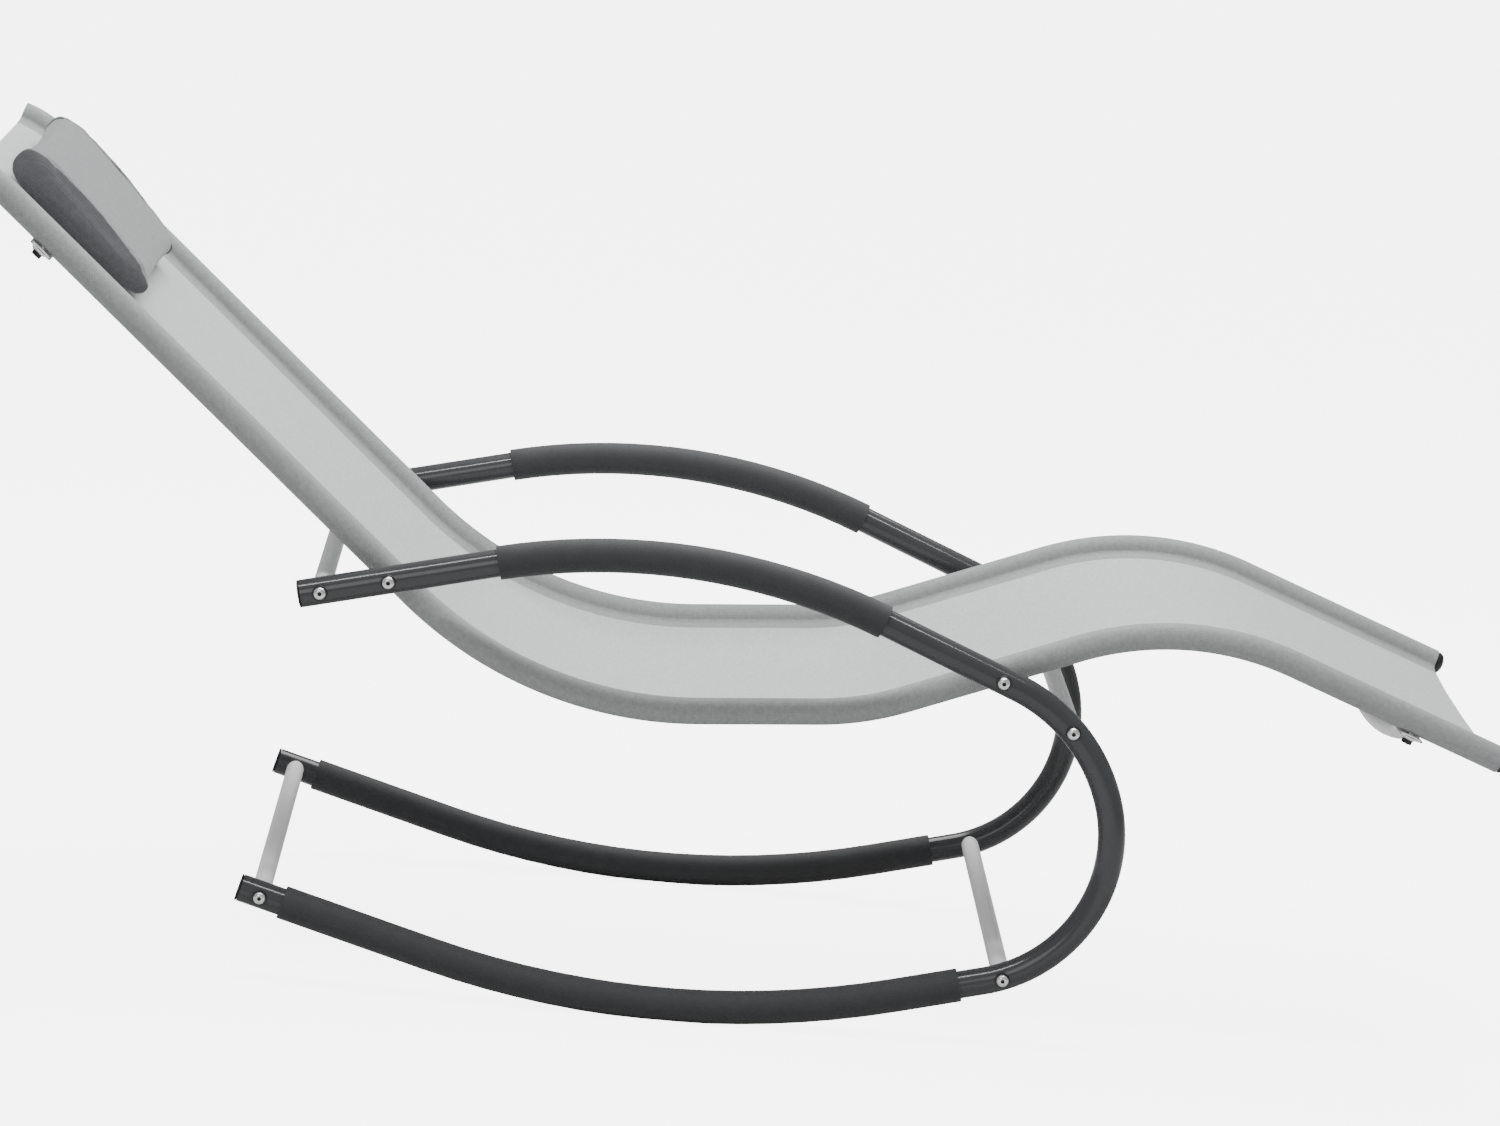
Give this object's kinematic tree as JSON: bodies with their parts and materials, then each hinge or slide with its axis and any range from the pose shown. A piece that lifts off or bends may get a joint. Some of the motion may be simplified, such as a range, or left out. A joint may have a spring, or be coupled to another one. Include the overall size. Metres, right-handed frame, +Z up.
{
  "type": "rocking chaise lounge",
  "caption": "Sling lounger with a long bent seat, carried between two open tube frames that form armrests above and rockers below, with a wedge head pillow.",
  "frame": {"origin": "on the floor, under the middle of the overall length, in the middle plane between the two side frames", "axes": "+X runs to the foot end, +Y to the left side of someone lying in it, +Z up"},
  "size_m": [1.6042, 0.6106, 0.8061],
  "materials": {
    "grey_powder_coat": "satin",
    "silver_paint": "satin",
    "foam_rubber": "matte",
    "black_plastic": "matte",
    "zinc_steel": "satin",
    "flange_bolt_steel": "satin",
    "sling_textile": "matte",
    "pillow_textile": "matte",
    "tape_textile": "matte"
  },
  "bodies": {
    "frame": {"head_spreader": "silver_paint", "head_spreader_bolt_right": "flange_bolt_steel", "head_spreader_bolt_left": "flange_bolt_steel", "foot_spreader": "silver_paint", "foot_spreader_bolt_right": "flange_bolt_steel", "foot_spreader_bolt_left": "flange_bolt_steel", "side_frame_right": "grey_powder_coat", "frame_plug_armrest_right": "black_plastic", "frame_plug_rocker_right": "black_plastic", "armrest_foam_right": "foam_rubber", "rocker_foam_right": "foam_rubber", "side_frame_left": "grey_powder_coat", "frame_plug_armrest_left": "black_plastic", "frame_plug_rocker_left": "black_plastic", "armrest_foam_left": "foam_rubber", "rocker_foam_left": "foam_rubber", "armrest_crossbar": "silver_paint", "knee_crossbar": "silver_paint", "front_base_crossbar": "silver_paint", "rear_base_crossbar": "silver_paint", "armrest_screw_right": "zinc_steel", "armrest_washer_right": "black_plastic", "knee_screw_right": "zinc_steel", "knee_washer_right": "black_plastic", "front_base_screw_right": "zinc_steel", "front_base_washer_right": "black_plastic", "rear_base_screw_right": "zinc_steel", "rear_base_washer_right": "black_plastic", "rear_rail_bolt_right": "zinc_steel", "rear_rail_washer_right": "black_plastic", "front_rail_bolt_right": "zinc_steel", "front_rail_washer_right": "black_plastic", "armrest_screw_left": "zinc_steel", "armrest_washer_left": "black_plastic", "knee_screw_left": "zinc_steel", "knee_washer_left": "black_plastic", "front_base_screw_left": "zinc_steel", "front_base_washer_left": "black_plastic", "rear_base_screw_left": "zinc_steel", "rear_base_washer_left": "black_plastic", "rear_rail_bolt_left": "zinc_steel", "rear_rail_washer_left": "black_plastic", "front_rail_bolt_left": "zinc_steel", "front_rail_washer_left": "black_plastic", "seat_rail_right": "grey_powder_coat", "rail_plug_head_right": "black_plastic", "rail_plug_foot_right": "black_plastic", "seat_rail_left": "grey_powder_coat", "rail_plug_head_left": "black_plastic", "rail_plug_foot_left": "black_plastic", "rear_rail_spacer_right": "black_plastic", "front_rail_spacer_right": "black_plastic", "rear_rail_spacer_left": "black_plastic", "front_rail_spacer_left": "black_plastic", "sling": "sling_textile", "loop_tape_right": "tape_textile", "loop_tape_left": "tape_textile"},
    "pillow": {"head_pillow": "pillow_textile", "hook_tape_left": "tape_textile", "hook_tape_right": "tape_textile"}
  },
  "joints": [
    {"name": "pillow_slide", "type": "slide", "parent": "frame", "child": "pillow", "axis": [0.7649, 0, -0.6441], "range_m": [-0.02, 0.06]}
  ]
}
